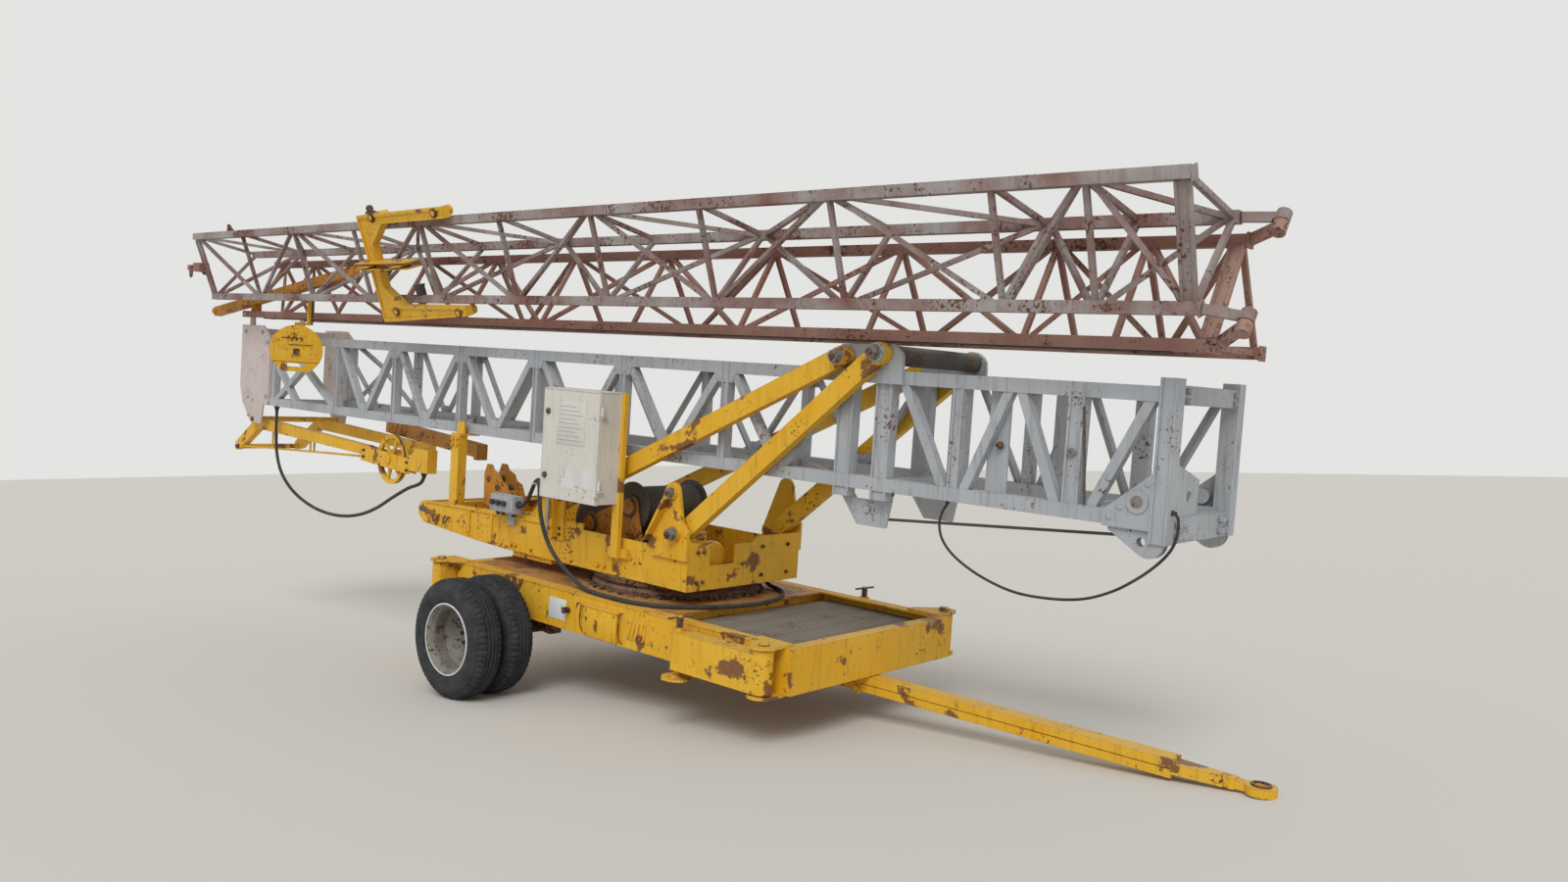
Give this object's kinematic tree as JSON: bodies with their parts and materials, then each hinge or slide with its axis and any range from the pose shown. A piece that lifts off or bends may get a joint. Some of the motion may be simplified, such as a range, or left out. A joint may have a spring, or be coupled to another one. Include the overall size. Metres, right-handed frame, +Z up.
{
  "type": "folding tower crane",
  "caption": "Self-erecting tower crane folded for the road: wheeled chassis with drawbar, slewing platform, lattice mast lying flat, jib folded beside it.",
  "frame": {"origin": "centre of the bounding box in X and Y, on the floor", "axes": "+X along the crane towards the tow eye, +Y across it away from the cabinet side, +Z up"},
  "size_m": [9.9542, 2.57, 3.6109],
  "materials": {
    "yellow": "matt chalky yellow paint with rust",
    "silver": "dull silver-grey paint",
    "primer": "flat red-brown primer worn to grey",
    "cream": "weathered cream paint",
    "deck": "dull dark grey paint",
    "rust": "rusty steel",
    "rim": "dirty pale paint",
    "tyre": "worn dusty rubber",
    "sheath": "black cable sheath, dusty",
    "rope": "greased steel rope"
  },
  "bodies": {
    "chassis": {"chassis_frame": "yellow", "chassis_deck": "deck", "axle_beam": "rust", "drawbar": "yellow", "lower_ring": "rust"},
    "leg_front_near": {"outrigger_front_near": "yellow"},
    "leg_front_far": {"outrigger_front_far": "yellow"},
    "leg_rear_near": {"outrigger_rear_near": "yellow"},
    "leg_rear_far": {"outrigger_rear_far": "yellow"},
    "wheels_near": {"near_tyres": "tyre", "near_rims": "rim"},
    "wheels_far": {"far_tyres": "tyre", "far_rims": "rim"},
    "slewing_platform": {"platform": "yellow", "upper_ring": "rust", "platform_lugs": "yellow", "mast_posts": "yellow", "hoist_drum": "rope", "drum_frame": "rust", "gear_motor": "yellow", "cabinet": "cream", "cabinet_post": "yellow", "junction_box": "silver", "deck_cable": "sheath"},
    "door": {"cabinet_door": "cream"},
    "short_pair": {"short_arms": "yellow"},
    "long_pair": {"long_arms": "yellow"},
    "mast": {"mast_near_side": "silver", "mast_far_side": "silver", "mast_top": "silver", "mast_bottom": "silver", "mast_foot": "silver", "mast_head": "silver", "arm_lugs": "silver", "rear_strut": "yellow", "guide_pulley": "yellow", "strut_beam": "rust", "foot_cable": "sheath", "rear_cable": "sheath"},
    "jib_root": {"jib_root_base": "primer", "jib_root_near": "primer", "jib_root_far": "primer", "jib_root_end": "primer", "head_strut": "yellow"},
    "jib_tip": {"jib_tip_base": "primer", "jib_tip_upper": "primer", "jib_tip_lower": "primer", "jib_tip_end": "primer", "tip_bracket": "primer", "hook_block": "yellow"},
    "trolley": {"trolley": "yellow"}
  },
  "joints": [
    {"name": "roll_near", "type": "hinge", "parent": "chassis", "child": "wheels_near", "pos_m": [0.12971, -1.06, 0.385], "axis": [0, 1, 0], "continuous": true},
    {"name": "roll_far", "type": "hinge", "parent": "chassis", "child": "wheels_far", "pos_m": [0.12971, 1.06, 0.385], "axis": [0, 1, 0], "continuous": true},
    {"name": "leg_front_near_swing", "type": "hinge", "parent": "chassis", "child": "leg_front_near", "pos_m": [2.48192, -0.87, 0.41368], "axis": [0.0903, 0, 0.9959], "range_deg": [0, 135]},
    {"name": "leg_front_far_swing", "type": "hinge", "parent": "chassis", "child": "leg_front_far", "pos_m": [2.48192, 0.87, 0.41368], "axis": [0.0903, 0, 0.9959], "range_deg": [-135, 0]},
    {"name": "leg_rear_near_swing", "type": "hinge", "parent": "chassis", "child": "leg_rear_near", "pos_m": [-0.55761, -0.86, 0.68932], "axis": [0.0903, 0, 0.9959], "range_deg": [0, 135]},
    {"name": "leg_rear_far_swing", "type": "hinge", "parent": "chassis", "child": "leg_rear_far", "pos_m": [-0.55761, 0.86, 0.68932], "axis": [0.0903, 0, 0.9959], "range_deg": [-135, 0]},
    {"name": "slew", "type": "hinge", "parent": "chassis", "child": "slewing_platform", "pos_m": [0.92418, 0, 0.73066], "axis": [0.0903, 0, 0.9959], "continuous": true},
    {"name": "door_hinge", "type": "hinge", "parent": "slewing_platform", "child": "door", "pos_m": [1.02258, -0.74, 1.5943], "axis": [0.0903, 0, 0.9959], "range_deg": [0, 110]},
    {"name": "short_arm_raise", "type": "hinge", "parent": "slewing_platform", "child": "short_pair", "pos_m": [1.47809, 0, 1.08106], "axis": [0, -1, 0], "range_deg": [0, 32]},
    {"name": "long_arm_raise", "type": "hinge", "parent": "slewing_platform", "child": "long_pair", "pos_m": [0.15262, 0, 1.19123], "axis": [0, -1, 0], "range_deg": [0, 22]},
    {"name": "mast_turn", "type": "hinge", "parent": "short_pair", "child": "mast", "pos_m": [2.97198, 0, 2.10834], "axis": [0, 1, 0], "range_deg": [0, 122]},
    {"name": "jib_raise", "type": "hinge", "parent": "mast", "child": "jib_root", "pos_m": [-4.4639, 0, 2.87806], "axis": [0, -1, 0], "range_deg": [0, 90]},
    {"name": "jib_fold", "type": "hinge", "parent": "jib_root", "child": "jib_tip", "pos_m": [4.89432, -0.5239, 2.10273], "axis": [0.0739, 0.575, 0.8148], "range_deg": [0, 180]},
    {"name": "trolley_travel", "type": "slide", "parent": "jib_tip", "child": "trolley", "axis": [0.9959, 0, -0.0903], "range_m": [-2.5, 4.5]}
  ],
  "couplings": [
    {"joint": "short_arm_raise", "follows": "mast_turn", "ratio": 0.2623},
    {"joint": "long_arm_raise", "follows": "mast_turn", "ratio": 0.18008}
  ]
}
